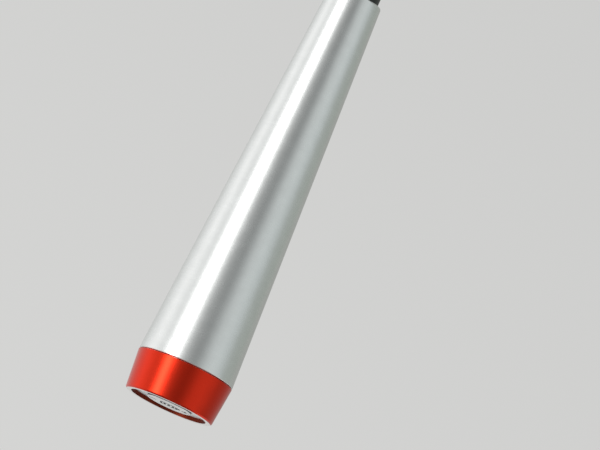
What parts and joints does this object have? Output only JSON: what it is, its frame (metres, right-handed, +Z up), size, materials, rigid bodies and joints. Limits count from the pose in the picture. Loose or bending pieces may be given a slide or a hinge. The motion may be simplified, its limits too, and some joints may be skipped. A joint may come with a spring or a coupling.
{
  "type": "otoscope",
  "caption": "Pocket otoscope: tapered battery handle with an unscrewing end cap, fibre-optic head, pull-off speculum, swing-out magnifier and slide switch.",
  "frame": {"origin": "centre of the plane that the end cap's rim stands on, on the handle's axis", "axes": "+Z up the handle's axis towards the head, -Y towards the patient's ear (the speculum's side), +Y towards the user's eye, +X to the user's right when looking through the magnifier along -Y"},
  "size_m": [0.0359, 0.0774, 0.1851],
  "materials": {
    "anodised_silver": "satin natural anodised, fine lengthwise brushing",
    "anodised_red": "satin red-orange anodised, with a bright-cut rim",
    "cut_aluminium": "fine-turned and clear anodised",
    "badge_metal": "satin, with an engraved and darkened mark",
    "brass": "machined",
    "nickel": "bright nickel plate",
    "spring_steel": "drawn wire and sheet",
    "seal_rubber": "moulded, matt",
    "black_plastic": "fine spark-eroded texture",
    "grip_plastic": "satin",
    "speculum_plastic": "satin, reusable",
    "liner_plastic": "moulded, plain",
    "cell_can": "plated can",
    "cell_label": "shrink sleeve",
    "lens_glass": "clear, coated",
    "light_guide": "polished fibre ends",
    "board": "solder-masked",
    "chip": "moulded",
    "phosphor": "phosphor layer",
    "insulator": "moulded, plain"
  },
  "bodies": {
    "handle": {"handle_sleeve": "anodised_silver", "thread_bush": "brass", "battery_tube": "liner_plastic", "lower_cell_can": "cell_can", "lower_cell_jacket": "cell_label", "upper_cell_can": "cell_can", "upper_cell_jacket": "cell_label", "contact_carrier": "insulator", "positive_contact": "brass", "ground_ring": "brass", "head_shell_left": "black_plastic", "head_shell_right": "black_plastic", "rear_bezel": "black_plastic", "window_seal": "seal_rubber", "insufflation_port": "nickel", "port_seal": "seal_rubber", "nose_ring": "black_plastic", "sight_tube": "black_plastic", "light_cone": "nickel", "fibre_ring": "light_guide", "fibre_bundle": "light_guide", "fibre_ferrule": "brass", "led_heat_sink": "cut_aluminium", "led_board": "board", "led_emitter": "phosphor", "led_dome": "lens_glass", "led_leads": "brass", "driver_board": "board", "board_components": "chip", "switch_body": "chip", "pivot_screw": "spring_steel", "pivot_washer": "spring_steel"},
    "cap_spring": {"spring_seat": "spring_steel", "battery_spring": "spring_steel"},
    "end_cap": {"end_cap_ring": "anodised_red", "end_cap_plug": "cut_aluminium", "end_cap_badge": "badge_metal", "end_cap_seal": "seal_rubber"},
    "switch": {"switch_button": "grip_plastic", "switch_keeper": "spring_steel", "switch_lever": "grip_plastic"},
    "magnifier": {"lens_frame": "black_plastic", "magnifier_lens": "lens_glass", "lens_retainer": "grip_plastic"},
    "speculum": {"speculum": "speculum_plastic"}
  },
  "joints": [
    {"name": "cap_travel", "type": "slide", "parent": "handle", "child": "cap_spring", "axis": [0, 0, -1], "range_m": [0, 0.009]},
    {"name": "cap_turn", "type": "hinge", "parent": "cap_spring", "child": "end_cap", "pos_m": [0, 0, 0.006], "axis": [0, 0, -1], "range_deg": [0, 2160]},
    {"name": "magnifier_swing", "type": "hinge", "parent": "handle", "child": "magnifier", "pos_m": [0, 0.02192, 0.18059], "axis": [0, -0.9848, 0.1736], "range_deg": [-100, 100]},
    {"name": "speculum_pull", "type": "slide", "parent": "handle", "child": "speculum", "axis": [0, -0.9848, 0.1736], "range_m": [0, 0.036]},
    {"name": "switch_slide", "type": "slide", "parent": "handle", "child": "switch", "axis": [0, 0, 1], "range_m": [0, 0.003]}
  ],
  "couplings": [
    {"joint": "cap_travel", "follows": "cap_turn", "m_per_rad": 0.00023873}
  ]
}
